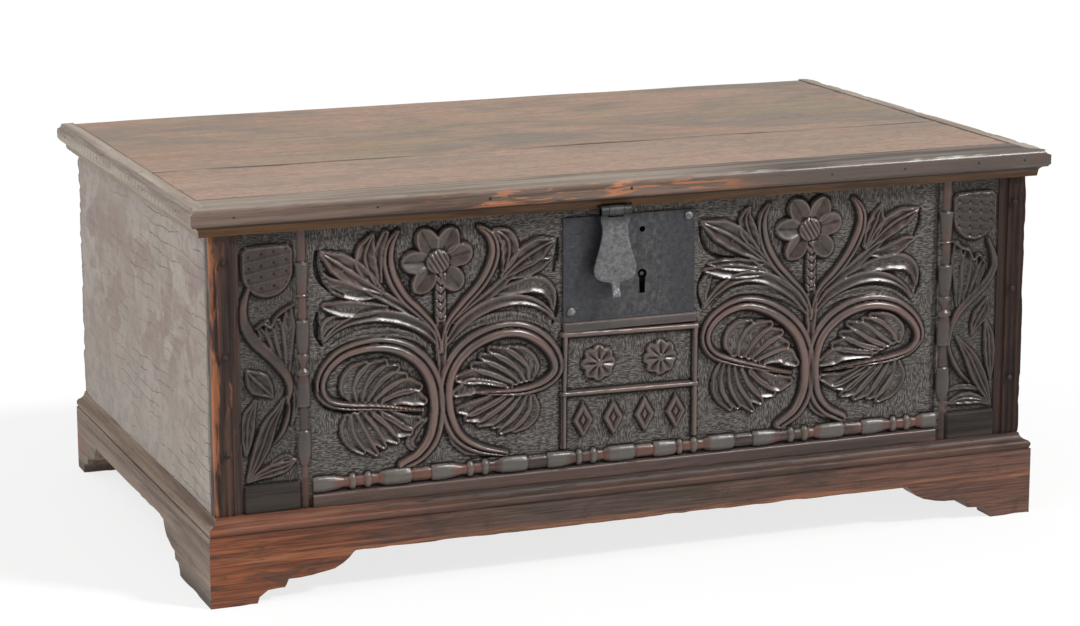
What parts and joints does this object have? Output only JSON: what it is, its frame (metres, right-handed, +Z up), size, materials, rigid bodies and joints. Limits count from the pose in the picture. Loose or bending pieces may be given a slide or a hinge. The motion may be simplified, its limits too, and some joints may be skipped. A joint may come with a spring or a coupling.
{
  "type": "carved oak bible box",
  "caption": "Low rectangular carved oak chest on a bracket base, with a hinged moulded lid, an iron lock plate and a swinging hasp.",
  "frame": {"origin": "on the floor under the middle of the bounding box", "axes": "+X along the width to the viewer's right, +Y from the carved front to the back, +Z up"},
  "size_m": [0.7, 0.431, 0.297],
  "materials": {
    "lid_oak": "old wax over greyish brown oak, grain along the width, worn edges",
    "carved_oak": "dark polished oak, matted ground, red-brown wear on the ridges",
    "case_oak": "dry grey-brown oak, fine dark grain lines",
    "plinth_oak": "dark stained oak worn to orange-brown on edges",
    "lock_iron": "dark mottled wrought iron",
    "hasp_iron": "grey rough wrought iron",
    "hinge_iron": "blackened wrought iron",
    "nail_iron": "dull forged iron"
  },
  "bodies": {
    "box": {"front_panel": "carved_oak", "front_left_stile": "carved_oak", "front_right_stile": "carved_oak", "bottom_rail": "carved_oak", "left_corner_moulding": "carved_oak", "right_corner_moulding": "carved_oak", "left_end_board": "case_oak", "right_end_board": "case_oak", "back_board": "case_oak", "bottom_board_front": "case_oak", "bottom_board_rear": "case_oak", "plinth_front": "plinth_oak", "plinth_left": "plinth_oak", "plinth_right": "plinth_oak", "plinth_back": "plinth_oak", "corner_blocks": "plinth_oak", "lock_plate": "lock_iron", "lock_case": "lock_iron", "drill_pin": "lock_iron", "bolt_guides": "lock_iron", "bolt_spring": "lock_iron", "left_hinge_back_leaf": "hinge_iron", "left_hinge_pin": "hinge_iron", "right_hinge_back_leaf": "hinge_iron", "right_hinge_pin": "hinge_iron", "corner_nails": "nail_iron", "lock_plate_nails": "nail_iron", "hinge_back_nails": "nail_iron"},
    "lid": {"lid_rear_board": "lid_oak", "lid_front_board": "lid_oak", "lid_front_moulding": "lid_oak", "lid_left_cleat": "lid_oak", "lid_right_cleat": "lid_oak", "hasp_strap": "hasp_iron", "hasp_pin": "hasp_iron", "lid_nails": "nail_iron", "hasp_strap_nails": "nail_iron", "hinge_lid_nails": "nail_iron", "left_hinge_lid_leaf": "hinge_iron", "right_hinge_lid_leaf": "hinge_iron"},
    "hasp": {"hasp": "hasp_iron", "hasp_staple": "hasp_iron"},
    "bolt": {"lock_bolt": "lock_iron"}
  },
  "joints": [
    {"name": "lid_hinge", "type": "hinge", "parent": "box", "child": "lid", "pos_m": [0, 0.212, 0.2735], "axis": [-1, 0, 0], "range_deg": [0, 105]},
    {"name": "hasp_hinge", "type": "hinge", "parent": "lid", "child": "hasp", "pos_m": [-0.021, -0.2095, 0.2735], "axis": [-1, 0, 0], "range_deg": [-8, 100]},
    {"name": "bolt_slide", "type": "slide", "parent": "box", "child": "bolt", "axis": [-1, 0, 0], "range_m": [0, 0.012]}
  ]
}
